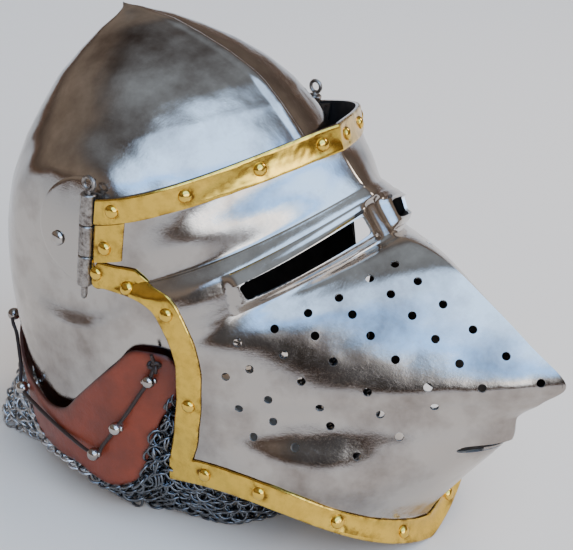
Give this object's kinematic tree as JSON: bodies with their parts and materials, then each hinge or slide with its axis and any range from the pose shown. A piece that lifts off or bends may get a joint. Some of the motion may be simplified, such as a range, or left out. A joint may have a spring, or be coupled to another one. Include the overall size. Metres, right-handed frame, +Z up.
{
  "type": "bascinet helmet",
  "caption": "Pointed steel helmet with a snouted, pierced visor on lift-pin side hinges, brass edging, leather band and mail curtain",
  "frame": {"origin": "Centre of the bounding box in X and Y, on the surface it rests on in Z", "axes": "+X to the wearer's left, -Y to the front (the snout), +Z up from the surface; the helmet leans back 14 degrees as it rests on its chin and its mail"},
  "size_m": [0.2312, 0.3944, 0.2871],
  "materials": {
    "polished_steel": "polished, with fine scratches",
    "forged_steel": "filed, darkened in the corners",
    "brass": "polished, tarnished at its edges",
    "red_leather": "waxed, worn at its edges",
    "dark_lace": "matt",
    "mail_steel": "bright and blued rings"
  },
  "bodies": {
    "helm": {"skull": "polished_steel", "pivot_rivet_right": "polished_steel", "pivot_rivet_left": "polished_steel", "leather_band": "red_leather", "vervelle_01": "forged_steel", "vervelle_02": "forged_steel", "vervelle_03": "forged_steel", "vervelle_04": "forged_steel", "vervelle_05": "forged_steel", "vervelle_06": "forged_steel", "vervelle_07": "forged_steel", "vervelle_08": "forged_steel", "vervelle_09": "forged_steel", "vervelle_10": "forged_steel", "lace": "dark_lace", "mail_curtain": "mail_steel"},
    "visor": {"visor": "polished_steel", "brow_band": "brass", "hinge_strip_right": "brass", "hinge_strip_left": "brass", "cheek_band_right": "brass", "cheek_band_left": "brass", "bottom_band_right": "brass", "bottom_band_left": "brass", "band_rivet_01_right": "brass", "band_rivet_01_left": "brass", "band_rivet_02_right": "brass", "band_rivet_02_left": "brass", "band_rivet_03_right": "brass", "band_rivet_03_left": "brass", "band_rivet_04_right": "brass", "band_rivet_04_left": "brass", "band_rivet_05_right": "brass", "band_rivet_05_left": "brass", "band_rivet_06_right": "brass", "band_rivet_06_left": "brass", "band_rivet_07_right": "brass", "band_rivet_07_left": "brass", "band_rivet_08_right": "brass", "band_rivet_08_left": "brass", "band_rivet_09_right": "brass", "band_rivet_09_left": "brass", "band_rivet_10_right": "brass", "band_rivet_10_left": "brass", "band_rivet_11_right": "brass", "band_rivet_11_left": "brass", "band_rivet_12_right": "brass", "band_rivet_12_left": "brass", "band_rivet_13_right": "brass", "band_rivet_13_left": "brass", "hinge_leaf_right": "forged_steel", "hinge_leaf_left": "forged_steel", "hinge_plate_right": "forged_steel", "hinge_plate_left": "forged_steel"},
    "pin_right": {"hinge_pin_right": "forged_steel"},
    "pin_left": {"hinge_pin_left": "forged_steel"}
  },
  "joints": [
    {"name": "visor_pivot", "type": "hinge", "parent": "helm", "child": "visor", "pos_m": [0, 0.07734, 0.17941], "axis": [-1, 0, 0], "range_deg": [0, 75]},
    {"name": "pin_right_lift", "type": "slide", "parent": "visor", "child": "pin_right", "axis": [0, -0.0829, 0.9966], "range_m": [0, 0.07]},
    {"name": "pin_left_lift", "type": "slide", "parent": "visor", "child": "pin_left", "axis": [0, -0.0829, 0.9966], "range_m": [0, 0.07]}
  ]
}
